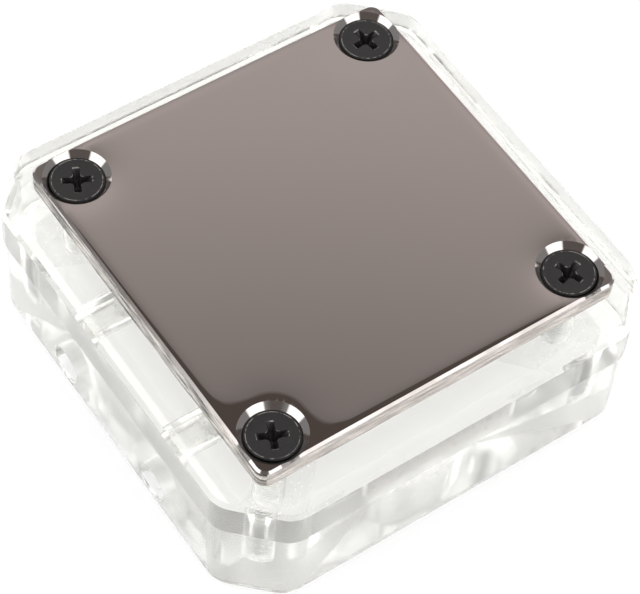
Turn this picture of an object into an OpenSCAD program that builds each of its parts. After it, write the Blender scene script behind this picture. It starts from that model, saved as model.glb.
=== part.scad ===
// Clear CPU water block with a square mirror-finished cold plate.
// It lies on its port face, as it is laid down before fitting, with the cold plate up.
// Z = 0 is the port face, and the Z axis runs through the middle of the square.

/* [Cold plate] */
// Width of the square cold plate.
plate_w = 50; // [46:0.5:58]
// Thickness of the cold plate.
plate_t = 3; // [2.6:0.1:3.6]
// Radius of the cold plate's upright corners.
plate_corner_r = 1.5; // [0.5:0.1:2]
// Bevel around the cold plate's outer face.
plate_bevel = 0.3; // [0.1:0.05:0.6]

/* [Fins] */
// Width of a slot between two fins.
fin_slot_w = 0.6; // [0.3:0.05:0.8]
// Distance from one slot to the next.
fin_pitch = 1.2; // [1:0.1:2]
// Depth of a slot.
fin_slot_d = 1.5; // [1:0.1:1.8]
// How far the field of fins reaches past each end of the feed slot.
fin_overrun = 1; // [0.5:0.1:1.5]
// Distance from the ends of the slots to the outer wall of the collector.
fin_end = 1.5; // [1:0.1:2]

/* [Clear layers] */
// How far the upper clear layer stands out past the cold plate.
body_margin = 5; // [4.5:0.1:6]
// Leg of the corner cuts of the upper layer.
mid_cut = 6.5; // [5:0.1:8]
// Thickness of the upper clear layer.
mid_t = 6; // [5:0.5:8]
// Bevel on both rims of the upper layer.
mid_bevel = 0.5; // [0.2:0.1:0.8]
// How far the port layer's sides stand in from the upper layer's.
layer_step = 0.4; // [0.2:0.1:0.8]
// Thickness of the port layer.
port_layer_t = 12.35; // [11:0.05:16]
// Bevel around the port face.
port_layer_bevel = 0.5; // [0.2:0.1:0.8]
// Gap that the seal holds open between the two clear layers.
layer_gap = 0.05; // [0.02:0.01:0.1]
// Radius that softens the eight upright edges of both layers.
edge_r = 4; // [1.5:0.1:4]

/* [Screws] */
// Outer diameter of the screw thread.
screw_d = 3.5; // [3:0.1:4]
// Diameter of the countersunk head.
head_d = 6.6; // [5.6:0.1:7.6]
// Height of the head's upright rim.
head_rim = 0.15; // [0.1:0.05:0.3]
// How far the widest part of the head lies below the cold plate's face.
head_sink = 0.8; // [0.4:0.05:1]
// Metal left between a countersink and the sides of the cold plate.
countersink_land = 0.1; // [0.1:0.05:1]
// Tip to tip length of the cross recess.
recess_len = 3.8; // [3:0.1:4.4]
// Width of a wing of the cross recess.
recess_w = 0.95; // [0.7:0.05:1.2]
// Depth of the cross recess.
recess_d = 1.7; // [1:0.1:2]
// Clear material left under the tapped screw holes.
hole_floor = 1.45; // [1:0.05:4]

/* [Ports] */
// Bore of the G1/4 ports at the thread crests.
port_d = 11.8; // [11.4:0.1:11.9]
// Lead-in bevel at the mouth of a port.
port_bevel = 0.9; // [0.7:0.1:1.2]
// Distance between the two ports.
port_pitch = 18; // [16:0.1:21]

/* [Channels] */
// Depth of the channels in the port layer's top face.
channel_d = 3.15; // [2.5:0.05:4]
// Width of the ring channel that collects the water.
channel_w = 3; // [2.5:0.1:3.5]
// Wall between the ring channel and the groove of the seal.
channel_wall = 1.4; // [1:0.1:2]
// Width of the feed slot.
feed_w = 3.8; // [3:0.1:5]
// Wall between the ends of the feed slot and the ring channel.
feed_wall = 3.5; // [2:0.1:5]
// Width of the two return windows.
window_w = 2.5; // [2:0.1:3]
// How far the windows end inside the corner cuts of the ring channel.
window_end = 1.9; // [1.5:0.1:3]

/* [Light holes] */
// Diameter of the two blind holes for 5 mm lamps.
lamp_d = 5; // [3:0.1:6]
// Depth of the lamp holes.
lamp_depth = 8; // [5:0.5:12]
// Distance between the lamp holes.
lamp_pitch = 19.4; // [16:0.2:24]
// Wall left between the mouth of a lamp hole and the port face's bevel.
lamp_land = 0.1; // [0.1:0.1:2]

/* [Seals and jet plate] */
// Thickness of the flat gasket under the cold plate.
gasket_t = 0.6; // [0.5:0.05:0.8]
// How far the gasket stands in from the cold plate's edge.
gasket_inset = 0.3; // [0.1:0.1:0.6]
// Thickness of the jet plate.
jet_t = 1; // [0.9:0.05:1.3]
// Distance from the jet plate's edges to the return windows.
jet_wall = 1; // [0.6:0.1:2]
// Width of the slot in the jet plate.
jet_slot_w = 1.6; // [1:0.1:2.4]
// Width of the seal between the clear layers.
seal_w = 1.8; // [1.4:0.1:2.2]
// Height of that seal when the block is screwed together.
seal_t = 1.2; // [1:0.1:1.5]

/* [Hidden] */
$fn = 64;
eps = 0.01;
slack = 0.05;
seal_slack = 0.2;
screw_clear = 0.4;
gasket_clear = 0.3;
jet_clear = 0.2;
jet_play = 0.05;
countersink_d = head_d + 2 * head_sink;
screw_inset = countersink_d / 2 + countersink_land;
screw_pitch = plate_w - 2 * screw_inset;
screw_off = screw_pitch / 2;
hole_r = screw_d / 2 + slack;
seal_wall = 1.8;
seal_edge = 4;
seal_r = 3;
seal_reach = seal_w / 2 + seal_slack;
seal_half = plate_w / 2 - seal_edge;
seal_sum = screw_pitch - sqrt(2) * (hole_r + seal_wall + seal_reach);
channel_half = seal_half - seal_reach - channel_wall;
channel_sum = seal_sum - sqrt(2) * (seal_reach + channel_wall);
channel_r = 1.5;
port_wall = 1.3;
port_ledge = 0.75;
port_open_d = port_d - 2 * port_ledge;
port_len = port_layer_t - channel_d;
feed_len = 2 * (channel_half - channel_w - feed_wall);
neck_w = 6;
window_len = 2 * (channel_sum - channel_half - window_end);
window_y = channel_half - window_w / 2;
fin_field_w = feed_len + 2 * fin_overrun;
fin_slot_len = 2 * (channel_half - fin_end);
fin_count = floor(fin_field_w / fin_pitch);
gasket_land = 0.5;
gasket_half = channel_half + gasket_land;
gasket_sum = channel_sum + 2 * gasket_land;
jet_w = 2 * (window_y - window_w / 2 - jet_wall);
jet_corner_r = 1;
drill_tip = 0.9;
hole_spare = 1;
mid_w = plate_w + 2 * body_margin;
port_w = mid_w - 2 * layer_step;
port_cut = mid_cut - layer_step;
mid_z = port_layer_t + layer_gap;
gasket_z = mid_z + mid_t;
plate_z = gasket_z + gasket_t;
plate_top = plate_z + plate_t;
through_r = (screw_d + screw_clear) / 2;
head_under = plate_top - head_sink;
head_top = head_under + head_rim;
head_cone = (head_d - screw_d) / 2;
hole_end_z = hole_floor + drill_tip;
screw_tip = hole_end_z + hole_spare;
tip_bevel = 0.5;
jet_z = plate_z - jet_t;
jet_pocket = gasket_z - jet_z + jet_play;
lamp_edge = 0.1;
lamp_x = -port_w / 2;
lamp_z = port_layer_bevel + lamp_land + lamp_edge + lamp_d / 2;
recess_foot = 0.4;
recess_lip = 0.17;
rim_bevel = 0.05;
seal_z = mid_z - seal_t;
recess_turn = [8, -26, -24, 18];

clear_tone = [0.93, 0.95, 0.94, 0.35];
nickel = [0.62, 0.60, 0.59];
steel = [0.75, 0.75, 0.74];
black = [0.08, 0.08, 0.08];
rubber_clear = [0.90, 0.90, 0.87];

// Corner points of a square with its corners cut at 45 degrees.
function cut_square(half, sum) = [
    [half, sum - half], [sum - half, half], [half - sum, half], [-half, sum - half],
    [-half, half - sum], [half - sum, -half], [sum - half, -half], [half, half - sum]
];

// Centres of the corner radii, so that the flats keep their distance from the middle.
function soft_centres(half, sum, r) = cut_square(half - r, sum - r * sqrt(2));

function square_centres(half, r) = [
    [half - r, half - r], [r - half, half - r], [r - half, r - half], [half - r, r - half]
];

// A flat outline with true corner radii around the given centres.
module soft_area(centres, r) {
    count = len(centres);
    polygon(centres);
    for (i = [0 : count - 1]) {
        a = centres[i];
        b = centres[(i + 1) % count];
        span = norm(b - a);
        turn = atan2(b[1] - a[1], b[0] - a[0]);
        translate(a) circle(r = r);
        translate(a) rotate(turn) translate([0, -r]) square([span, r]);
    }
}

// A slab over that outline with a 45 degree bevel below and above.
module soft_slab(centres, r, h, low, high) {
    count = len(centres);
    linear_extrude(h) polygon(centres);
    for (i = [0 : count - 1]) {
        a = centres[i];
        b = centres[(i + 1) % count];
        span = norm(b - a);
        turn = atan2(b[1] - a[1], b[0] - a[0]);
        foot = low > 0 ? [[0, 0], [r - low, 0], [r, low]] : [[0, 0], [r, 0]];
        rim = high > 0 ? [[r, h - high], [r - high, h], [0, h]] : [[r, h], [0, h]];
        edge = concat(foot, rim);
        translate(a) rotate_extrude() polygon(edge);
        translate(a) rotate(turn) rotate([90, 0, 90])
            linear_extrude(span) mirror([1, 0]) polygon(edge);
    }
}

// A slot with round ends that runs along X.
module long_slot(length, width) {
    square([length - width, width], center = true);
    for (s = [-1, 1]) translate([s * (length - width) / 2, 0]) circle(d = width);
}

module at_screws() {
    for (x = [-1, 1]) for (y = [-1, 1]) translate([x * screw_off, y * screw_off]) children();
}

// The outline that lies a given wall inside the ring channel.
module inside_ring(wall) {
    inset = channel_w + wall;
    soft_area(soft_centres(channel_half - inset, channel_sum - inset * sqrt(2), channel_r),
        channel_r);
}

// The ring channel around the feed, and the way from it to the outlet.
module collector_area() {
    difference() {
        soft_area(soft_centres(channel_half, channel_sum, channel_r), channel_r);
        inside_ring(0);
    }
    intersection() {
        union() {
            translate([0, -port_pitch / 2]) circle(d = port_open_d);
            translate([-neck_w / 2, -channel_half + channel_w / 2])
                square([neck_w, channel_half - channel_w / 2 - port_pitch / 2]);
        }
        translate([-channel_half, -channel_half])
            square([2 * channel_half, channel_half - feed_w / 2 - port_wall]);
    }
}

// The long slot over the middle of the fins, and the way to it from the inlet.
module feed_area() {
    long_slot(feed_len, feed_w);
    intersection() {
        union() {
            translate([0, port_pitch / 2]) circle(d = port_open_d);
            translate([-neck_w / 2, 0]) square([neck_w, port_pitch / 2]);
        }
        inside_ring(port_wall);
    }
}

module seal_area(width) {
    out = width / 2;
    difference() {
        soft_area(soft_centres(seal_half + out, seal_sum + out * sqrt(2), seal_r + out),
            seal_r + out);
        soft_area(soft_centres(seal_half - out, seal_sum - out * sqrt(2), seal_r - out),
            seal_r - out);
    }
}

// The lower clear layer: two tapped ports, the channels above them, the seal groove,
// four tapped blind holes for the plate screws and two lamp holes.
module port_layer() {
    color(clear_tone) difference() {
        soft_slab(soft_centres(port_w / 2, port_w - port_cut, edge_r), edge_r,
            port_layer_t, port_layer_bevel, 0);
        for (s = [-1, 1]) translate([0, s * port_pitch / 2]) {
            translate([0, 0, -eps]) cylinder(d = port_d, h = port_len + eps);
            translate([0, 0, -eps])
                cylinder(r1 = port_d / 2 + port_bevel + eps, r2 = port_d / 2, h = port_bevel + eps);
        }
        translate([0, 0, port_len - eps])
            linear_extrude(channel_d + 2 * eps) collector_area();
        translate([0, 0, port_len - eps])
            linear_extrude(channel_d + 2 * eps) feed_area();
        translate([0, 0, seal_z])
            linear_extrude(seal_t + eps) seal_area(seal_w + 2 * seal_slack);
        at_screws() {
            translate([0, 0, hole_end_z])
                cylinder(r = hole_r, h = port_layer_t - hole_end_z + eps);
            translate([0, 0, hole_end_z - drill_tip])
                cylinder(r1 = 0, r2 = hole_r, h = drill_tip);
        }
        for (s = [-1, 1])
            translate([lamp_x - eps, s * lamp_pitch / 2, lamp_z]) rotate([0, 90, 0]) {
                cylinder(d = lamp_d, h = lamp_depth + eps);
                cylinder(r1 = lamp_d / 2 + lamp_edge, r2 = lamp_d / 2, h = lamp_edge);
            }
    }
}

// The upper clear layer, a little wider all round: the feed slot and two return windows
// go through it, and the jet plate lies in its top face.
module mid_layer() {
    color(clear_tone) translate([0, 0, mid_z]) difference() {
        soft_slab(soft_centres(mid_w / 2, mid_w - mid_cut, edge_r), edge_r,
            mid_t, mid_bevel, mid_bevel);
        at_screws() translate([0, 0, -eps]) cylinder(r = through_r, h = mid_t + 2 * eps);
        translate([0, 0, -eps]) linear_extrude(mid_t + 2 * eps) long_slot(feed_len, feed_w);
        for (s = [-1, 1]) translate([0, s * window_y, -eps])
            linear_extrude(mid_t + 2 * eps) long_slot(window_len, window_w);
        translate([0, 0, mid_t - jet_pocket]) linear_extrude(jet_pocket + eps)
            soft_area(square_centres(jet_w / 2 + jet_clear, jet_corner_r + jet_clear),
                jet_corner_r + jet_clear);
    }
}

// The moulded ring that seals the joint of the two clear layers.
module layer_seal() {
    color(rubber_clear) translate([0, 0, seal_z]) linear_extrude(seal_t) seal_area(seal_w);
}

// The thin steel sheet that spreads the feed over the middle of the fins.
module jet_plate() {
    color(steel) translate([0, 0, jet_z]) linear_extrude(jet_t) difference() {
        soft_area(square_centres(jet_w / 2, jet_corner_r), jet_corner_r);
        long_slot(feed_len, jet_slot_w);
    }
}

// The flat silicone gasket between the upper clear layer and the cold plate.
module plate_gasket() {
    half = plate_w / 2 - gasket_inset;
    color(rubber_clear) translate([0, 0, gasket_z]) linear_extrude(gasket_t) difference() {
        soft_area(square_centres(half, plate_corner_r), plate_corner_r);
        soft_area(soft_centres(gasket_half, gasket_sum, channel_r), channel_r);
        at_screws() circle(d = screw_d + 2 * gasket_clear);
    }
}

// The nickel-plated copper plate: flat polished face outside, slots and fins inside.
module cold_plate() {
    color(nickel) translate([0, 0, plate_z]) difference() {
        soft_slab(square_centres(plate_w / 2, plate_corner_r), plate_corner_r,
            plate_t, 0, plate_bevel);
        at_screws() {
            translate([0, 0, -eps]) cylinder(r = through_r, h = plate_t + 2 * eps);
            translate([0, 0, plate_t - countersink_d / 2 + through_r])
                cylinder(r1 = through_r, r2 = countersink_d / 2 + eps,
                    h = countersink_d / 2 - through_r + eps);
        }
        for (i = [0 : fin_count - 1])
            translate([(i - (fin_count - 1) / 2) * fin_pitch, 0, fin_slot_d / 2 - eps])
                cube([fin_slot_w, fin_slot_len, fin_slot_d + 2 * eps], center = true);
    }
}

// One wing of the cross recess, wide at the face and narrow at its foot.
module recess_wing() {
    half = recess_len / 2;
    rotate([90, 0, 0]) translate([0, 0, -recess_w / 2]) linear_extrude(recess_w)
        polygon([[-half, eps], [-half, -recess_lip], [-recess_foot, -recess_d],
            [recess_foot, -recess_d], [half, -recess_lip], [half, eps]]);
}

// The four countersunk screws that clamp the stack together.
module plate_screws() {
    spots = [[1, 1], [-1, 1], [-1, -1], [1, -1]];
    shank = screw_d / 2;
    color(black) for (i = [0 : 3])
        translate([spots[i][0] * screw_off, spots[i][1] * screw_off]) difference() {
            rotate_extrude() polygon([
                [0, screw_tip], [shank - tip_bevel, screw_tip], [shank, screw_tip + tip_bevel],
                [shank, head_under - head_cone], [head_d / 2, head_under],
                [head_d / 2, head_top - rim_bevel], [head_d / 2 - rim_bevel, head_top],
                [0, head_top]]);
            translate([0, 0, head_top]) rotate(recess_turn[i]) {
                recess_wing();
                rotate(90) recess_wing();
            }
        }
}

port_layer();
mid_layer();
layer_seal();
jet_plate();
plate_gasket();
cold_plate();
plate_screws();
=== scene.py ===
import bpy
import bmesh
import math
from mathutils import Matrix, Vector


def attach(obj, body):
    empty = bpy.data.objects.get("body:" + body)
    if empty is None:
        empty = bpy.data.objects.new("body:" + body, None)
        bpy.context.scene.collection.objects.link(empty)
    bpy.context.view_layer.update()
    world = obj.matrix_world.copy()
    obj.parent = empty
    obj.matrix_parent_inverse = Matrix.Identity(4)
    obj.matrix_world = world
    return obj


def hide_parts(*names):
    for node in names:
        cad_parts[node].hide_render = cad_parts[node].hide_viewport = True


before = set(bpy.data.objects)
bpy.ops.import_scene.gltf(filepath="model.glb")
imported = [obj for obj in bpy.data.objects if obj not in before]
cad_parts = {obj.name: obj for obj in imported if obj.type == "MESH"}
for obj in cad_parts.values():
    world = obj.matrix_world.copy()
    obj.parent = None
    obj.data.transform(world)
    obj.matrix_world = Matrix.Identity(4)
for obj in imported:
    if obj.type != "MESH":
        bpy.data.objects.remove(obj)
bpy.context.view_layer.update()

# View. The photograph looks down on one corner of the block from about 55 degrees, through a long lens.
# The frame is 640 pixels wide, and the optical axis passes a little right of its middle.
FRAME_W, FRAME_H = 640, 594
FOCAL_PX = 2471.7
AXIS_PX = (362.2, 300.6)
SENSOR_MM = 36.0
CAMERA_AT = (-0.10796, -0.13408, 0.25471)
VIEW_RIGHT = (0.81895, -0.56934, 0.07192)
VIEW_DOWN = (-0.43643, -0.69930, -0.56614)
VIEW_AHEAD = (0.37262, 0.43225, -0.82117)

scene = bpy.context.scene
lens = bpy.data.cameras.new("photo_camera")
lens.sensor_width = SENSOR_MM
lens.lens = FOCAL_PX * SENSOR_MM / FRAME_W
lens.shift_x = -(AXIS_PX[0] - FRAME_W / 2) / FRAME_W
lens.shift_y = (AXIS_PX[1] - FRAME_H / 2) / FRAME_W
lens.clip_start = 0.01
camera = bpy.data.objects.new("photo_camera", lens)
turn = Matrix((VIEW_RIGHT, [-v for v in VIEW_DOWN], [-v for v in VIEW_AHEAD])).transposed()
camera.matrix_world = Matrix.Translation(CAMERA_AT) @ turn.to_4x4()
scene.collection.objects.link(camera)
scene.camera = camera

# Room: a white tent lights the clear block from all sides. The mirror plate and the screws show a dim studio
# in its place, with a dark ceiling, two soft boxes and a far wall that falls off towards the ceiling. The
# light paths are long, because light crosses many clear faces before it leaves the block.
scene.view_settings.view_transform = "Standard"
scene.view_settings.look = "None"
scene.cycles.max_bounces = 48
scene.cycles.diffuse_bounces = 8
scene.cycles.glossy_bounces = 32
scene.cycles.transmission_bounces = 32


def add(tree, kind, links=(), **settings):
    """A node with its settings, and its links as (own input, source socket) pairs."""
    node = tree.nodes.new(kind)
    for key, value in settings.items():
        if not key.startswith("in_"):
            setattr(node, key, value)
    for key, value in settings.items():
        if key.startswith("in_"):
            name = key[3:].replace("_", " ")
            node.inputs[int(name) if name.isdigit() else name].default_value = value
    for name, source in links:
        tree.links.new(source, node.inputs[name])
    return node


def linear(code):
    """Linear colour of an sRGB hex value."""
    parts = [int(code[i:i + 2], 16) / 255 for i in (0, 2, 4)]
    return tuple(v / 12.92 if v <= 0.04045 else ((v + 0.055) / 1.055) ** 2.4 for v in parts) + (1.0,)


# Level ways away from the lens and to its right. A rise is the angle of a patch's middle above the far wall's
# foot, a half its half width, and an edge how soft its border is.
FAR_WAY = Vector((0.653, 0.757, 0.0))
RIGHT_WAY = Vector((0.757, -0.653, 0.0))
CEILING_RISE = math.radians(105.5)
CEILING_HALF = math.radians(44.5)
CEILING_EDGE = math.radians(0.6)
CEILING_COLOUR = "5A5552"
BOX_RISE = math.radians(34)
BOX_TO_LENS = 0.504
BOX_HALF = math.radians(21.5)
BOX_EDGE = math.radians(2.5)
BOX_LEVEL = 1.4
# The far wall's light at two heights, as (height of the way, light), and how much it also falls to the right.
WALL_LOW, WALL_HIGH = (0.744, 0.53), (0.886, 0.22)
WALL_LEAN = 0.038
WALL_RISE = math.radians(60)
WALL_HALF = math.radians(28)
WALL_EDGE = math.radians(12)
ROOM_LEVEL = 0.22
TENT_LEVEL = 2.6

world = bpy.data.worlds.new("light_tent")
scene.world = world
world.use_nodes = True
sky = world.node_tree
sky.nodes.clear()
way = add(sky, "ShaderNodeTexCoord").outputs["Generated"]


def patch(axis, half, edge, below, light):
    """Light of one round patch of the room over the light around it."""
    dot = add(sky, "ShaderNodeVectorMath", [(0, way)], operation="DOT_PRODUCT", in_1=tuple(axis))
    inside = add(sky, "ShaderNodeMapRange", [("Value", dot.outputs["Value"])], clamp=True,
                 in_1=math.cos(half + edge), in_2=math.cos(half - edge))
    mix = add(sky, "ShaderNodeMix", [(0, inside.outputs["Result"])], data_type="RGBA")
    for socket, source in ((6, below), (7, light)):
        if isinstance(source, tuple):
            mix.inputs[socket].default_value = source
        else:
            sky.links.new(source, mix.inputs[socket])
    return mix.outputs[2]


def risen(way_out, angle):
    """Way that rises by an angle above a level one."""
    return way_out * math.cos(angle) + Vector((0, 0, math.sin(angle)))


height = add(sky, "ShaderNodeVectorMath", [(0, way)], operation="DOT_PRODUCT",
             in_1=tuple(RIGHT_WAY * WALL_LEAN + Vector((0, 0, 1))))
wall = add(sky, "ShaderNodeMapRange", [("Value", height.outputs["Value"])], interpolation_type="SMOOTHSTEP",
           in_1=WALL_LOW[0], in_2=WALL_HIGH[0], in_3=WALL_LOW[1], in_4=WALL_HIGH[1])
room = (ROOM_LEVEL,) * 3 + (1.0,)
light = patch(risen(FAR_WAY, WALL_RISE), WALL_HALF, WALL_EDGE, room, wall.outputs[0])
light = patch(risen(FAR_WAY, CEILING_RISE), CEILING_HALF, CEILING_EDGE, light, linear(CEILING_COLOUR))
for side in (-1, 1):
    axis = (risen(RIGHT_WAY * side, BOX_RISE) - FAR_WAY * BOX_TO_LENS).normalized()
    light = patch(axis, BOX_HALF, BOX_EDGE, light, (BOX_LEVEL,) * 3 + (1.0,))
path = add(sky, "ShaderNodeLightPath").outputs
# Light that passes through acrylic counts as glossy too, so it is taken off: only mirrored light is left.
mirrored = add(sky, "ShaderNodeMath", [(0, path["Is Glossy Ray"]), (1, path["Is Transmission Ray"])],
               operation="SUBTRACT", use_clamp=True)
light_mix = add(sky, "ShaderNodeMix", [(0, mirrored.outputs[0]), (7, light)], data_type="RGBA",
                in_6=(TENT_LEVEL,) * 3 + (1.0,))
shade = add(sky, "ShaderNodeBackground", [("Color", light_mix.outputs[2])])
add(sky, "ShaderNodeOutputWorld", [("Surface", shade.outputs[0])])

# Light table: a sheet of opal glass, lit from below, so that the clear block is white all through. It lies a
# tenth of a millimetre below the block, which keeps the two faces apart.
TABLE_HALF = 3.0
TABLE_DROP = 0.0001
TABLE_COLOUR = "606060"
TABLE_GLOW = 0.79

mesh = bpy.data.meshes.new("light_table")
around = [(-1, -1), (1, -1), (1, 1), (-1, 1)]
mesh.from_pydata([(x * TABLE_HALF, y * TABLE_HALF, -TABLE_DROP) for x, y in around], [], [(0, 1, 2, 3)])
table = bpy.data.objects.new("light_table", mesh)
scene.collection.objects.link(table)
opal = bpy.data.materials.new("opal_glass")
opal.use_nodes = True
opal.node_tree.nodes.clear()
shader = add(opal.node_tree, "ShaderNodeBsdfPrincipled", in_Base_Color=linear(TABLE_COLOUR),
             in_Roughness=0.6, in_Emission_Color=(1.0,) * 4, in_Emission_Strength=TABLE_GLOW)
add(opal.node_tree, "ShaderNodeOutputMaterial", [("Surface", shader.outputs[0])])
mesh.materials.append(opal)

# Lower clear layer: cast acrylic, milled from a block, with satin walls. Its two hose ports and four screw
# holes are tapped, and its two lamp holes are drilled from the left. The part has plain bores, so the
# threads are cut here. Sizes here and further down are in millimetres.
MM = 0.001
PORT_PITCH = 18.0
PORT_BORE_R = 5.9
PORT_THREAD_R = 6.58
PORT_THREAD_PITCH = 1.337
PORT_DEPTH = 9.2
SCREW_OFF = 20.8
HOLE_R = 1.8
HOLE_THREAD_R = 1.94
SCREW_THREAD_PITCH = 0.6
HOLE_END_Z = 2.35
LOWER_TOP_Z = 12.35
LAMP_OFF = 9.7
LAMP_Z = 3.2
LAMP_R = 2.5
LAMP_MOUTH_X = -29.6
LAMP_END_X = -21.5
LOWER_WALL = 28.9
CUT_CORNER = 0.5585
NEAR = 0.01


def solid(name, points, faces):
    """New mesh object from points in millimetres."""
    mesh = bpy.data.meshes.new(name)
    mesh.from_pydata([tuple(v * MM for v in point) for point in points], [], faces)
    piece = bpy.data.objects.new(name, mesh)
    scene.collection.objects.link(piece)
    return piece


def taken_over(node, name):
    """Copy of a CAD solid with its loose triangles merged, which replaces the solid."""
    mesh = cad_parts[node].data.copy()
    mesh.name = name
    shell = bmesh.new()
    shell.from_mesh(mesh)
    bmesh.ops.remove_doubles(shell, verts=shell.verts, dist=0.002 * MM)
    shell.to_mesh(mesh)
    shell.free()
    mesh.materials.clear()
    if mesh.has_custom_normals:
        mesh.attributes.remove(mesh.attributes["custom_normal"])
    piece = bpy.data.objects.new(name, mesh)
    scene.collection.objects.link(piece)
    return piece


def settle(piece):
    """Put the result of the piece's modifiers in its mesh."""
    result = bpy.data.meshes.new_from_object(piece.evaluated_get(bpy.context.evaluated_depsgraph_get()))
    old = piece.data
    piece.modifiers.clear()
    piece.data = result
    bpy.data.meshes.remove(old)


def carved(piece, cutter, operation="DIFFERENCE"):
    """Cut a closed cutter out of a piece, or keep what lies in it, and drop the cutter."""
    cut = piece.modifiers.new("cut", "BOOLEAN")
    cut.operation = operation
    cut.solver = "EXACT"
    cut.object = cutter
    settle(piece)
    bpy.data.objects.remove(cutter)


def rings(profile):
    """Points and faces of a closed turned shape, from its (radius, height, count) rings."""
    points, faces = [], []
    for radius, height, count in profile:
        for i in range(count):
            angle = 2 * math.pi * i / count
            r = radius(angle, height) if callable(radius) else radius
            points.append((r * math.cos(angle), r * math.sin(angle), height))
    count = profile[0][2]
    for row in range(len(profile) - 1):
        low, high = row * count, (row + 1) * count
        for i in range(count):
            j = (i + 1) % count
            faces.append((low + i, low + j, high + j, high + i))
    faces.append(tuple(reversed(range(count))))
    faces.append(tuple(range(len(points) - count, len(points))))
    return points, faces


def thread_wave(pitch, core, crest, begin, end):
    """Radius of a right-hand thread with flat crests, which starts and runs out over half a turn."""
    def radius(angle, height):
        phase = (height / pitch - angle / (2 * math.pi)) % 1
        rise = min(max(1.5 * (1 - abs(2 * phase - 1)) - 0.25, 0), 1)
        fade = min(max((height - begin) / (0.5 * pitch), 0), max((end - height) / (0.5 * pitch), 0), 1)
        return core + (crest - core) * rise * fade
    return radius


def thread_tap(name, core, crest, pitch, begin, end, count, steps, low, high):
    """Closed rod that cuts a thread from begin to end, and lies inside its bore elsewhere."""
    wave = thread_wave(pitch, core, crest, begin, end)
    rows = math.ceil((high - low) / pitch * steps)
    return solid(name, *rings([(wave, low + (high - low) * row / rows, count) for row in range(rows + 1)]))


def laid_out(name, single, places, finish=None):
    """One mesh of copies of an object at places given as x, y in millimetres and a turn in degrees."""
    host = solid(name, [(x, y, 0) for x, y, turn in places], [])
    turns = host.data.attributes.new("turn", "FLOAT", "POINT")
    for item, place in zip(turns.data, places):
        item.value = math.radians(place[2])
    tree = bpy.data.node_groups.new(name + "_layout", "GeometryNodeTree")
    tree.interface.new_socket("Places", in_out="INPUT", socket_type="NodeSocketGeometry")
    piece_in = tree.interface.new_socket("Piece", in_out="INPUT", socket_type="NodeSocketObject")
    finish_in = tree.interface.new_socket("Finish", in_out="INPUT", socket_type="NodeSocketMaterial")
    tree.interface.new_socket("Pieces", in_out="OUTPUT", socket_type="NodeSocketGeometry")
    given = add(tree, "NodeGroupInput").outputs
    model = add(tree, "GeometryNodeObjectInfo", [("Object", given["Piece"])]).outputs["Geometry"]
    turn = add(tree, "GeometryNodeInputNamedAttribute", data_type="FLOAT", in_Name="turn")
    turn = add(tree, "ShaderNodeCombineXYZ", [("Z", turn.outputs["Attribute"])]).outputs[0]
    copies = add(tree, "GeometryNodeInstanceOnPoints", [
        ("Points", given["Places"]), ("Instance", model), ("Rotation", turn)]).outputs[0]
    copies = add(tree, "GeometryNodeRealizeInstances", [("Geometry", copies)]).outputs[0]
    copies = add(tree, "GeometryNodeSetMaterial", [
        ("Geometry", copies), ("Material", given["Finish"])]).outputs[0]
    add(tree, "NodeGroupOutput", [("Pieces", copies)])
    layout = host.modifiers.new("layout", "NODES")
    layout.node_group = tree
    layout[piece_in.identifier] = single
    if finish:
        layout[finish_in.identifier] = finish
    settle(host)
    bpy.data.objects.remove(single)
    return host


CORNERS = [(x * SCREW_OFF, y * SCREW_OFF) for x, y in ((1, 1), (-1, 1), (-1, -1), (1, -1))]

port_block = taken_over("port_layer", "port_block")
tap = thread_tap("port_tap", PORT_BORE_R - 0.03, PORT_THREAD_R, PORT_THREAD_PITCH, -2.0, PORT_DEPTH - 0.5,
                 96, 12, -0.5, PORT_DEPTH - 0.2)
carved(port_block, laid_out("port_taps", tap, [(0, s * PORT_PITCH / 2, 0) for s in (-1, 1)]))
tap = thread_tap("hole_tap", HOLE_R - 0.03, HOLE_THREAD_R, SCREW_THREAD_PITCH, HOLE_END_Z, 20.0,
                 32, 8, HOLE_END_Z + 0.1, LOWER_TOP_Z + 0.3)
carved(port_block, laid_out("hole_taps", tap, [(x, y, 0) for x, y in CORNERS]))


def shaded(piece, angle=35):
    """Smooth shading that keeps the flats flat and the edges sharp."""
    piece.data.shade_smooth()
    piece.data.set_sharp_from_angle(angle=math.radians(angle))
    even = piece.modifiers.new("even", "WEIGHTED_NORMAL")
    even.keep_sharp = True
    settle(piece)


def clear(name, tint, haze, roughness, grain_mm, grain_depth_mm):
    """Cast acrylic that scatters a share of the light, with grain of the given spacing and depth."""
    material = bpy.data.materials.new(name)
    material.use_nodes = True
    tree = material.node_tree
    tree.nodes.clear()
    place = add(tree, "ShaderNodeTexCoord").outputs["Object"]
    grain = add(tree, "ShaderNodeTexNoise", [("Vector", place)], in_Scale=1 / (grain_mm * MM), in_Detail=3.0)
    rough = add(tree, "ShaderNodeMapRange", [("Value", grain.outputs["Fac"])], in_3=roughness * 0.6,
                in_4=roughness * 1.4)
    bump = add(tree, "ShaderNodeBump", [("Height", grain.outputs["Fac"])], in_Strength=1.0,
               in_Distance=grain_depth_mm * MM)
    shader = add(tree, "ShaderNodeBsdfPrincipled", [
        ("Roughness", rough.outputs[0]), ("Normal", bump.outputs["Normal"])],
        in_Base_Color=linear(tint), in_IOR=1.49, in_Transmission_Weight=1 - haze)
    add(tree, "ShaderNodeOutputMaterial", [("Surface", shader.outputs[0])])
    return material


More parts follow.
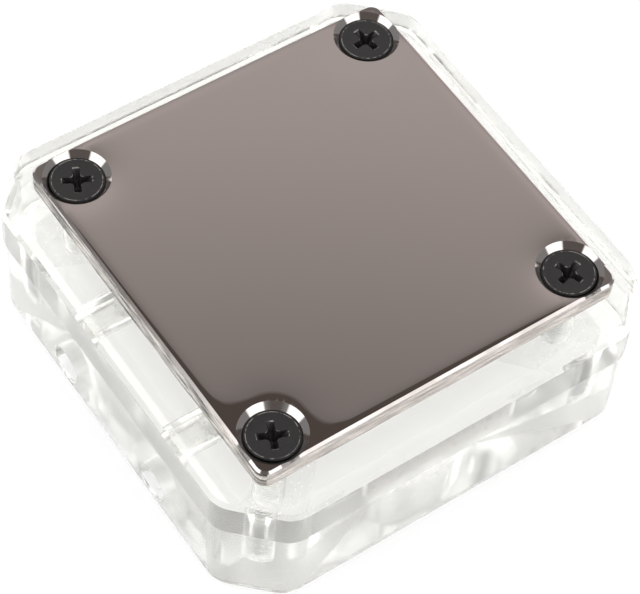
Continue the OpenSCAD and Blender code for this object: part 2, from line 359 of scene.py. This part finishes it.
# Polished acrylic is clear, with a faint waviness and a little haze. Satin walls are softer, and blur the
# channels behind them. Lapped faces, which lie against the next layer, are clear, milled ones are frosted,
# and tapped holes are whiter still. The cutter's marks are drawn coarser than they are, so that they show.
polished = clear("polished_acrylic", "FDFDF8", 0.07, 0.03, 6.0, 0.006)
satin = clear("satin_acrylic", "FDFDF8", 0.12, 0.14, 6.0, 0.004)
lapped = clear("lapped_acrylic", "FFFFFF", 0.02, 0.05, 1.0, 0.0003)
milled = clear("milled_acrylic", "FFFFFD", 0.08, 0.25, 0.8, 0.0005)
tapped = clear("tapped_acrylic", "FFFFFF", 0.2, 0.25, 0.6, 0.0005)


def dress(piece, finishes, choose):
    """Give each face the finish that its middle, in millimetres, and its way out choose."""
    for material in finishes:
        piece.data.materials.append(material)
    for face in piece.data.polygons:
        face.material_index = choose(face.center / MM, face.normal)


def reach_out(at):
    """How far out a point lies, where the cut corners count as far as the sides do."""
    return max(abs(at.x), abs(at.y), (abs(at.x) + abs(at.y)) * CUT_CORNER)


def port_block_finish(at, out):
    """Satin outside, tapped in the threads, lapped on top and below, milled elsewhere."""
    for x, y in CORNERS:
        if math.hypot(at.x - x, at.y - y) < HOLE_THREAD_R + 0.26 and at.z < LOWER_TOP_Z - NEAR:
            return 2
    for side in (-1, 1):
        in_port = math.hypot(at.x, at.y - side * PORT_PITCH / 2) < PORT_THREAD_R + 0.27
        if in_port and 2 * NEAR < at.z < PORT_DEPTH - 2 * NEAR:
            return 2
        in_lamp_hole = math.hypot(at.y - side * LAMP_OFF, at.z - LAMP_Z) < LAMP_R + 0.15
        if in_lamp_hole and LAMP_MOUTH_X + NEAR < at.x < LAMP_END_X:
            return 1
    if reach_out(at) > LOWER_WALL and abs(out.z) < 0.95:
        return 0
    if at.z < NEAR or at.z > LOWER_TOP_Z - NEAR:
        return 3
    return 1


shaded(port_block)
dress(port_block, (satin, milled, tapped, lapped), port_block_finish)
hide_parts("port_layer")
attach(port_block, "root")

# Seal between the clear layers: a moulded silicone ring, pressed into a groove of the lower one. To the eye
# it is a milky white line with a dusty bloom.
silicone = bpy.data.materials.new("moulded_silicone")
silicone.use_nodes = True
tree = silicone.node_tree
tree.nodes.clear()
place = add(tree, "ShaderNodeTexCoord").outputs["Object"]
dust = add(tree, "ShaderNodeTexNoise", [("Vector", place)], in_Scale=1 / (0.4 * MM), in_Detail=4.0)
tone = add(tree, "ShaderNodeMix", [(0, dust.outputs["Fac"])], data_type="RGBA",
           in_6=linear("E9E8E2"), in_7=linear("F6F5F0"))
rough = add(tree, "ShaderNodeMapRange", [("Value", dust.outputs["Fac"])], in_3=0.4, in_4=0.6)
shader = add(tree, "ShaderNodeBsdfPrincipled", [
    ("Base Color", tone.outputs[2]), ("Roughness", rough.outputs[0])],
    in_IOR=1.41, in_Transmission_Weight=0.35)
add(tree, "ShaderNodeOutputMaterial", [("Surface", shader.outputs[0])])


def softened(piece, gap, bevel, segments):
    """Shrink a seal off its neighbours by a hair and round its edges."""
    piece.data.shade_smooth()
    shell = bmesh.new()
    shell.from_mesh(piece.data)
    shell.normal_update()
    low = min(v.co.z for v in shell.verts)
    high = max(v.co.z for v in shell.verts)
    for vert in shell.verts:
        vert.co.z += gap * MM if vert.co.z < (low + high) / 2 else -gap * MM
    bmesh.ops.dissolve_limit(shell, angle_limit=math.radians(0.5), verts=shell.verts, edges=shell.edges)
    shell.to_mesh(piece.data)
    shell.free()
    edge = piece.modifiers.new("edge", "BEVEL")
    edge.width = bevel * MM
    edge.segments = segments
    edge.limit_method = "ANGLE"
    edge.angle_limit = math.radians(60)
    settle(piece)
    shaded(piece, 50)


seal_ring = taken_over("layer_seal", "seal_ring")
softened(seal_ring, 0.02, 0.35, 4)
seal_ring.data.materials.append(silicone)
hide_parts("layer_seal")
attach(seal_ring, "root")

# Upper clear layer: acrylic sheet, milled through for the feed slot and the two return windows, with a
# pocket for the jet plate. It is polished on top and satin on its walls, and the screws pass through it.
UPPER_LOW_Z = 12.4
UPPER_TOP_Z = 18.4
UPPER_WALL = 29.3
CLEARANCE_R = 1.95

mid_block = taken_over("mid_layer", "mid_block")


def mid_block_finish(at, out):
    """Polished on top and in the screw holes, satin walls, lapped below, milled in the channels."""
    in_hole = any(math.hypot(at.x - x, at.y - y) < CLEARANCE_R + 0.15 for x, y in CORNERS)
    if in_hole and abs(out.z) < 0.5:
        return 0
    outside = reach_out(at) > UPPER_WALL
    if outside and abs(out.z) < 0.3:
        return 3
    if at.z > UPPER_TOP_Z - NEAR:
        return 0
    if at.z < UPPER_LOW_Z + NEAR:
        return 2
    return 0 if outside else 1


shaded(mid_block)
dress(mid_block, (polished, milled, lapped, satin), mid_block_finish)
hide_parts("mid_layer")
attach(mid_block, "root")

# Jet plate: thin stainless sheet with a laser-cut slot, laid in its pocket under the fins. It has the fine
# streaks of cold rolling along one side. The piece is the part's own solid.
steel = bpy.data.materials.new("rolled_stainless")
steel.use_nodes = True
tree = steel.node_tree
tree.nodes.clear()
place = add(tree, "ShaderNodeTexCoord").outputs["Object"]
STREAK_LONG, STREAK_WIDE = 4 * MM, 0.08 * MM
grain = add(tree, "ShaderNodeMapping", [("Vector", place)],
            in_Scale=(1 / STREAK_LONG, 1 / STREAK_WIDE, 1 / (1 * MM)))
grain = add(tree, "ShaderNodeTexNoise", [("Vector", grain.outputs[0])], in_Scale=1.0, in_Detail=3.0)
rough = add(tree, "ShaderNodeMapRange", [("Value", grain.outputs["Fac"])], in_3=0.22, in_4=0.4)
tone = add(tree, "ShaderNodeMix", [(0, grain.outputs["Fac"])], data_type="RGBA",
           in_6=linear("B9B8B4"), in_7=linear("D2D1CE"))
shader = add(tree, "ShaderNodeBsdfPrincipled", [
    ("Base Color", tone.outputs[2]), ("Roughness", rough.outputs[0])], in_Metallic=1.0)
add(tree, "ShaderNodeOutputMaterial", [("Surface", shader.outputs[0])])
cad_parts["jet_plate"].data.materials.clear()
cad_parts["jet_plate"].data.materials.append(steel)

# Plate gasket: a ring punched from thin silicone sheet, with holes for the screws, clamped under the plate.
# Only its edge shows, as a thin pale line.
gasket_ring = taken_over("plate_gasket", "gasket_ring")
softened(gasket_ring, 0.02, 0.06, 2)
gasket_ring.data.materials.append(silicone)
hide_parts("plate_gasket")
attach(gasket_ring, "root")

# Cold plate: copper, milled with 21 slots on its wet face, countersunk, nickel-plated, and polished on its
# outer face until it mirrors. Polishing has rolled its edges and corners off, each corner by its own amount.
PLATE_HALF = 25.0
PLATE_LOW_Z = 19.0
PLATE_TOP_Z = 22.0
PLATE_CORNER_R = 1.5
PLATE_BEVEL = 0.3
PLATE_GRID = 100
SLOT_COUNT = 21
SLOT_PITCH = 1.2
SLOT_W = 0.6
SLOT_DEEP = 1.5
SLOT_LONG = 34.0
SINK_R = 4.1
THROUGH_R = 1.95
# For each corner, how far out along the diagonal its roll-off starts, and how deep it is at the tip.
CORNER_ROLL = {(1, 1): (29, 0.8), (-1, 1): (29, 1.45), (-1, -1): (25.6, 0.6), (1, -1): (29, 1.3)}
CORNER_TIP = 34.7
EDGE_DROP, EDGE_REACH = 0.17, 0.36
SINK_DROP, SINK_REACH = 0.09, 1.5
# The mirror's normals follow the whole roll-off, and its points a quarter of it. A mirror shows slopes far
# more than depths, and this keeps the rims of the countersinks level.
FALL_SHARE = 0.25


def roll_off(x, y):
    """How far polishing has lowered the outer face here, in millimetres."""
    start, tip_drop = CORNER_ROLL[(1 if x > 0 else -1, 1 if y > 0 else -1)]
    along = (abs(x) + abs(y)) / math.sqrt(2)
    drop = tip_drop * (max(along - start, 0) / (CORNER_TIP - start)) ** 2
    for side in (abs(x), abs(y)):
        drop += EDGE_DROP * math.exp(-max(PLATE_HALF - side, 0) / EDGE_REACH)
    near = math.hypot(abs(x) - SCREW_OFF, abs(y) - SCREW_OFF) - SINK_R
    return drop + SINK_DROP * math.exp(-max(near, 0) / SINK_REACH)


def slab(name, half, radius, levels, arc=10, steps=40):
    """Square slab with round corners and split sides, from its (height, inset) levels."""
    points, faces = [], []
    middle = half - radius
    for height, inset in levels:
        for quarter in range(4):
            cx = middle * (1, -1, -1, 1)[quarter]
            cy = middle * (1, 1, -1, -1)[quarter]
            for i in range(arc + 1):
                angle = math.pi / 2 * (quarter + i / arc)
                reach = radius - inset
                points.append((cx + reach * math.cos(angle), cy + reach * math.sin(angle), height))
            for i in range(1, steps):
                x, y = middle * (1 - 2 * i / steps), half - inset
                points.append(((x, y), (-y, x), (-x, -y), (y, -x))[quarter] + (height,))
    count = 4 * (arc + steps)
    for row in range(len(levels) - 1):
        for i in range(count):
            j = (i + 1) % count
            faces.append((row * count + i, row * count + j, (row + 1) * count + j, (row + 1) * count + i))
    faces.append(tuple(reversed(range(count))))
    faces.append(tuple(range(len(points) - count, len(points))))
    return solid(name, points, faces)


def plate_blank():
    """Block larger than the plate, whose top is a fine grid."""
    half = PLATE_HALF + 1
    step = 2 * half / PLATE_GRID
    points = [(-half + step * i, -half + step * j, PLATE_TOP_Z)
              for j in range(PLATE_GRID + 1) for i in range(PLATE_GRID + 1)]
    row = PLATE_GRID + 1
    faces = [(j * row + i, j * row + i + 1, (j + 1) * row + i + 1, (j + 1) * row + i)
             for j in range(PLATE_GRID) for i in range(PLATE_GRID)]
    rim = [i for i in range(row)] + [j * row + PLATE_GRID for j in range(1, row)]
    rim += [PLATE_GRID * row + i for i in range(PLATE_GRID - 1, -1, -1)]
    rim += [j * row for j in range(PLATE_GRID - 1, 0, -1)]
    low = len(points)
    points += [(points[i][0], points[i][1], PLATE_LOW_Z - 1) for i in rim]
    for i in range(len(rim)):
        j = (i + 1) % len(rim)
        faces.append((rim[j], rim[i], low + i, low + j))
    faces.append(tuple(low + i for i in reversed(range(len(rim)))))
    return solid("cold_plate_blank", points, faces)


plate = plate_blank()
carved(plate, slab("plate_outline", PLATE_HALF, PLATE_CORNER_R, [
    (PLATE_LOW_Z, 0.15), (PLATE_LOW_Z + 0.15, 0), (PLATE_TOP_Z - PLATE_BEVEL, 0),
    (PLATE_TOP_Z, PLATE_BEVEL), (PLATE_TOP_Z + 0.5, PLATE_BEVEL)]), "INTERSECT")
sink = solid("sink", *rings([
    (THROUGH_R, PLATE_LOW_Z - 0.5, 96), (THROUGH_R, PLATE_TOP_Z - SINK_R + THROUGH_R, 96),
    (SINK_R, PLATE_TOP_Z, 96), (SINK_R + 0.5, PLATE_TOP_Z + 0.5, 96)]))
carved(plate, laid_out("sinks", sink, [(x, y, 0) for x, y in CORNERS]))

slot = []
for height in (PLATE_LOW_Z - 0.5, PLATE_LOW_Z + SLOT_DEEP):
    for end, first in ((1, 0), (-1, math.pi)):
        for i in range(7):
            angle = first + math.pi * i / 6
            slot.append((SLOT_W / 2 * math.cos(angle),
                         end * (SLOT_LONG - SLOT_W) / 2 + SLOT_W / 2 * math.sin(angle), height))
count = len(slot) // 2
faces = [(i, (i + 1) % count, count + (i + 1) % count, count + i) for i in range(count)]
faces += [tuple(reversed(range(count))), tuple(range(count, 2 * count))]
slot = solid("slot", slot, faces)
middle = (SLOT_COUNT - 1) / 2
carved(plate, laid_out("slots", slot, [((i - middle) * SLOT_PITCH, 0, 0) for i in range(SLOT_COUNT)]))

for vert in plate.data.vertices:
    x, y, z = vert.co / MM
    share = max((z - PLATE_LOW_Z - SLOT_DEEP) / (PLATE_TOP_Z - PLATE_LOW_Z - SLOT_DEEP), 0)
    vert.co.z -= roll_off(x, y) * FALL_SHARE * share * MM

# Mirror nickel on the outer face: warm grey and almost free of grain. The sides are ground along the edge,
# and on the left one the streaks are painted far darker, as painted shade. The bevel is buffed, and the
# countersinks keep the cutter's rings.
NICKEL = "D4C5BF"
NICKEL_LIGHT = "EAE3E0"
CUTTER_RING = 0.14


def nickel(name, roughness, bump_scale=None, bump_mm=0.0, turned=False, dull=NICKEL):
    """Nickel plating: plain, with grain of the given scale, or turned with rings round the screws."""
    material = bpy.data.materials.new(name)
    material.use_nodes = True
    tree = material.node_tree
    tree.nodes.clear()
    place = add(tree, "ShaderNodeTexCoord").outputs["Object"]
    patchy = add(tree, "ShaderNodeTexNoise", [("Vector", place)], in_Scale=1 / (9 * MM), in_Detail=2.0)
    rough = add(tree, "ShaderNodeMapRange", [("Value", patchy.outputs["Fac"])], in_3=roughness * 0.8,
                in_4=roughness * 1.2)
    links = [("Roughness", rough.outputs[0])]
    if turned:
        spot = add(tree, "ShaderNodeVectorMath", [(0, place)], operation="ABSOLUTE")
        spot = add(tree, "ShaderNodeVectorMath", [(0, spot.outputs[0])], operation="SUBTRACT",
                   in_1=(SCREW_OFF * MM, SCREW_OFF * MM, 0))
        spot = add(tree, "ShaderNodeVectorMath", [(0, spot.outputs[0])], operation="MULTIPLY", in_1=(1, 1, 0))
        spot = add(tree, "ShaderNodeVectorMath", [(0, spot.outputs[0])], operation="LENGTH").outputs["Value"]
        height = add(tree, "ShaderNodeMath", [(0, spot)], operation="MULTIPLY",
                     in_1=2 * math.pi / (CUTTER_RING * MM))
        height = add(tree, "ShaderNodeMath", [(0, height.outputs[0])], operation="SINE").outputs[0]
    elif bump_scale:
        grain = add(tree, "ShaderNodeMapping", [("Vector", place)], in_Scale=bump_scale)
        height = add(tree, "ShaderNodeTexNoise", [("Vector", grain.outputs[0])], in_Scale=1.0,
                     in_Detail=3.0).outputs["Fac"]
        streak = add(tree, "ShaderNodeMapRange", [("Value", height)], in_1=0.4, in_2=0.6)
        tone = add(tree, "ShaderNodeMix", [(0, streak.outputs[0])], data_type="RGBA",
                   in_6=linear(dull), in_7=linear(NICKEL_LIGHT))
        links.append(("Base Color", tone.outputs[2]))
    if turned or bump_scale:
        bump = add(tree, "ShaderNodeBump", [("Height", height)], in_Strength=1.0, in_Distance=bump_mm * MM)
        links.append(("Normal", bump.outputs["Normal"]))
    colour = linear(NICKEL_LIGHT if turned else NICKEL)
    shader = add(tree, "ShaderNodeBsdfPrincipled", links, in_Base_Color=colour, in_Metallic=1.0)
    add(tree, "ShaderNodeOutputMaterial", [("Surface", shader.outputs[0])])
    return material


FINE = 1 / (0.1 * MM)
COARSE = 1 / (5 * MM)
mirror = nickel("mirror_nickel", 0.02)
ground = nickel("ground_nickel", 0.22, (COARSE, COARSE, FINE / 3), 0.006, dull="ABA39F")
# Ground nickel of the left side: the same streaks, with their dark tone painted far darker as painted shade.
ground_painted_shade = nickel("ground_nickel_painted_shade", 0.22, (COARSE, COARSE, FINE / 4), 0.008, dull="4A4643")
rim = nickel("buffed_nickel", 0.12, (COARSE, COARSE, COARSE), 0.001, dull="D2C9C5")
turned = nickel("turned_nickel", 0.05, bump_mm=0.0003, turned=True)
rinsed = nickel("milled_nickel", 0.3, (FINE, COARSE, COARSE), 0.004)

shaded(plate, 20)


def plate_finish(at, out):
    """Mirror on top, turned in the countersinks, buffed, or ground outside with painted shade on the left
    side, rinsed below.
    """
    if abs(out.z) > 0.9 and at.z > PLATE_LOW_Z + SLOT_DEEP + 0.3:
        return 0
    if at.z < PLATE_LOW_Z + NEAR:
        return 3
    if math.hypot(abs(at.x) - SCREW_OFF, abs(at.y) - SCREW_OFF) < SINK_R + 0.02:
        return 2
    if max(abs(at.x), abs(at.y)) < PLATE_HALF - 0.7:
        return 3
    # Finish 5, on the left side, is the ground nickel with its streaks painted darker as painted shade.
    return 4 if out.z > 0.3 else 5 if out.x < -0.5 else 1


dress(plate, (mirror, ground, turned, rinsed, rim, ground_painted_shade), plate_finish)

# Normals: the mirror's lean with the roll-off, and those of the countersinks are a true cone's.
data = plate.data
normals = [Vector(item.vector) for item in data.corner_normals]
STEP = 0.01
for face in data.polygons:
    cone = face.material_index == 2 and face.normal.z > 0.3
    if not cone and (face.material_index or face.normal.z < 0.9):
        continue
    for corner in face.loop_indices:
        x, y, z = data.vertices[data.loops[corner].vertex_index].co / MM
        if cone:
            inward = Vector((math.copysign(SCREW_OFF, x) - x, math.copysign(SCREW_OFF, y) - y, 0))
            normals[corner] = (inward.normalized() + Vector((0, 0, 1))).normalized()
            continue
        across = (roll_off(x + STEP, y) - roll_off(x - STEP, y)) / (2 * STEP)
        along = (roll_off(x, y + STEP) - roll_off(x, y - STEP)) / (2 * STEP)
        normals[corner] = Vector((across, along, 1)).normalized()
data.normals_split_custom_set(normals)
plate.name = "cold_plate_mirror"
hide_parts("cold_plate")
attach(plate, "root")

# Plate screws: four 3.5 mm countersunk steel screws with a cross recess, black oxide finished. Their thread
# starts below the upper layer, which they pass through freely, and each was stopped at its own turn.
SCREW_TIP_Z = 3.35
SCREW_R = 1.75
THREAD_CORE_R = 1.4
THREAD_END_Z = 12.0
SHANK_R = 1.7
HEAD_R = 3.3
HEAD_UNDER_Z = 21.2
HEAD_TOP_Z = 21.35
TIP_BEVEL = 0.5
# Outer and inner radius of the thin ring on the head top that carries the painted highlight.
HIGHLIGHT_RING_OUT = 3.08
HIGHLIGHT_RING_IN = 3.0
RECESS_HALF = 1.9
WING_HALF = 0.44
RECESS_CURVE = 0.5
RECESS_DEEP = 1.7
TURNS = (8, -26, -24, 18)
AROUND = 48

wave = thread_wave(SCREW_THREAD_PITCH, THREAD_CORE_R, SCREW_R, SCREW_TIP_Z - 0.3, THREAD_END_Z)


def shank_radius(angle, height):
    """Radius of the threaded shank, narrowed to a bevel at its tip."""
    tip = SCREW_R - TIP_BEVEL + (height - SCREW_TIP_Z)
    return min(wave(angle, height), tip)


rows = math.ceil((THREAD_END_Z - SCREW_TIP_Z) / SCREW_THREAD_PITCH * 8)
profile = [(0.3, SCREW_TIP_Z, AROUND)]
profile += [(shank_radius, SCREW_TIP_Z + (THREAD_END_Z - SCREW_TIP_Z) * i / rows, AROUND)
            for i in range(rows + 1)]
profile += [(r, z, AROUND) for r, z in (
    (THREAD_CORE_R, THREAD_END_Z + 0.1), (SHANK_R, THREAD_END_Z + 0.5),
    (SHANK_R, HEAD_UNDER_Z - HEAD_R + SHANK_R - 0.1), (SHANK_R + 0.1, HEAD_UNDER_Z - HEAD_R + SHANK_R + 0.12),
    (HEAD_R - 0.03, HEAD_UNDER_Z - 0.03), (HEAD_R, HEAD_UNDER_Z), (HEAD_R, HEAD_TOP_Z - 0.1),
    (HEAD_R - 0.03, HEAD_TOP_Z - 0.05), (HEAD_R - 0.09, HEAD_TOP_Z - 0.015), (HEAD_R - 0.17, HEAD_TOP_Z),
    (HIGHLIGHT_RING_OUT, HEAD_TOP_Z), (HIGHLIGHT_RING_IN, HEAD_TOP_Z), (HEAD_R - 1.0, HEAD_TOP_Z))]
screw = solid("screw", *rings(profile))

outline = []
for quarter in range(4):
    spin = Matrix.Rotation(math.radians(90 * quarter), 2)
    wing = [(RECESS_HALF, -WING_HALF + 0.1), (RECESS_HALF, WING_HALF - 0.1), (RECESS_HALF - 0.1, WING_HALF)]
    reach = WING_HALF + RECESS_CURVE
    wing += [(reach - RECESS_CURVE * math.sin(a), reach - RECESS_CURVE * math.cos(a))
             for a in (math.pi / 2 * i / 6 for i in range(7))]
    wing += [(WING_HALF, RECESS_HALF - 0.1)]
    outline += [tuple(spin @ Vector(point)) for point in wing]
levels = ((0.05, 1.03), (0.0, 1.0), (-0.12, 0.93), (-1.2, 0.6), (-RECESS_DEEP, 0.22))
points = [(x * size, y * size, HEAD_TOP_Z + drop) for drop, size in levels for x, y in outline]
count = len(outline)
faces = [(row * count + i, row * count + (i + 1) % count, (row + 1) * count + (i + 1) % count,
          (row + 1) * count + i) for row in range(len(levels) - 1) for i in range(count)]
faces += [tuple(range(count)), tuple(range((len(levels) - 1) * count, len(levels) * count))]
driver = solid("driver", points, faces)
shell = bmesh.new()
shell.from_mesh(driver.data)
bmesh.ops.recalc_face_normals(shell, faces=shell.faces)
shell.to_mesh(driver.data)
shell.free()
carved(screw, driver)

# Black oxide is a thin dark brown-black film, slightly mottled, with a dull shine.
oxide = bpy.data.materials.new("black_oxide_steel")
oxide.use_nodes = True
tree = oxide.node_tree
tree.nodes.clear()
place = add(tree, "ShaderNodeTexCoord").outputs["Object"]
mottle_and_highlight_noise = add(tree, "ShaderNodeTexNoise", [("Vector", place)], in_Scale=1 / (0.5 * MM), in_Detail=5.0)
tone = add(tree, "ShaderNodeMix", [(0, mottle_and_highlight_noise.outputs["Fac"])], data_type="RGBA",
           in_6=linear("100E0E"), in_7=linear("1A1717"))
rough = add(tree, "ShaderNodeMapRange", [("Value", mottle_and_highlight_noise.outputs["Fac"])], in_3=0.3, in_4=0.5)
bump = add(tree, "ShaderNodeBump", [("Height", mottle_and_highlight_noise.outputs["Fac"])], in_Strength=1.0,
           in_Distance=0.006 * MM)
shader = add(tree, "ShaderNodeBsdfPrincipled", [
    ("Base Color", tone.outputs[2]), ("Roughness", rough.outputs[0]), ("Normal", bump.outputs["Normal"])],
    in_IOR=1.55)
add(tree, "ShaderNodeOutputMaterial", [("Surface", shader.outputs[0])])

# Painted highlight: the edges of the recess and a thin ring round the head top get a lighter grey, broken
# into patches by noise, in place of the glints of light there.
screw_edge_highlight = bpy.data.materials.new("painted_highlight_screw_edge")
screw_edge_highlight.use_nodes = True
tree = screw_edge_highlight.node_tree
tree.nodes.clear()
place = add(tree, "ShaderNodeTexCoord").outputs["Object"]
mottle_and_highlight_noise = add(tree, "ShaderNodeTexNoise", [("Vector", place)], in_Scale=1 / (0.4 * MM), in_Detail=3.0)
share = add(tree, "ShaderNodeMapRange", [("Value", mottle_and_highlight_noise.outputs["Fac"])], in_1=0.42, in_2=0.58)
tone = add(tree, "ShaderNodeMix", [(0, share.outputs[0])], data_type="RGBA",
           in_6=linear("1C1919"), in_7=linear("66625F"))
shader = add(tree, "ShaderNodeBsdfPrincipled", [("Base Color", tone.outputs[2])], in_Roughness=0.5)
add(tree, "ShaderNodeOutputMaterial", [("Surface", shader.outputs[0])])

places = [(x, y, turn) for (x, y), turn in zip(CORNERS, TURNS)]
screws = laid_out("countersunk_screws", screw, places, oxide)
shaded(screws, 40)


def screw_finish(at, out):
    """Painted highlight on the edge of the recess and on a ring round the head top, black elsewhere."""
    away = min(math.hypot(at.x - x, at.y - y) for x, y in CORNERS)
    edge = away < 2.3 and 0.3 < out.z < 0.9 and at.z > HEAD_TOP_Z - 0.13
    return 1 if edge or at.z > HEAD_TOP_Z - 0.001 and HIGHLIGHT_RING_IN < away < HIGHLIGHT_RING_OUT else 0


screws.data.materials.clear()
# The second finish is the painted highlight on the recess edges and on the ring round the head top.
dress(screws, (oxide, screw_edge_highlight), screw_finish)
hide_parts("plate_screws")
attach(screws, "root")
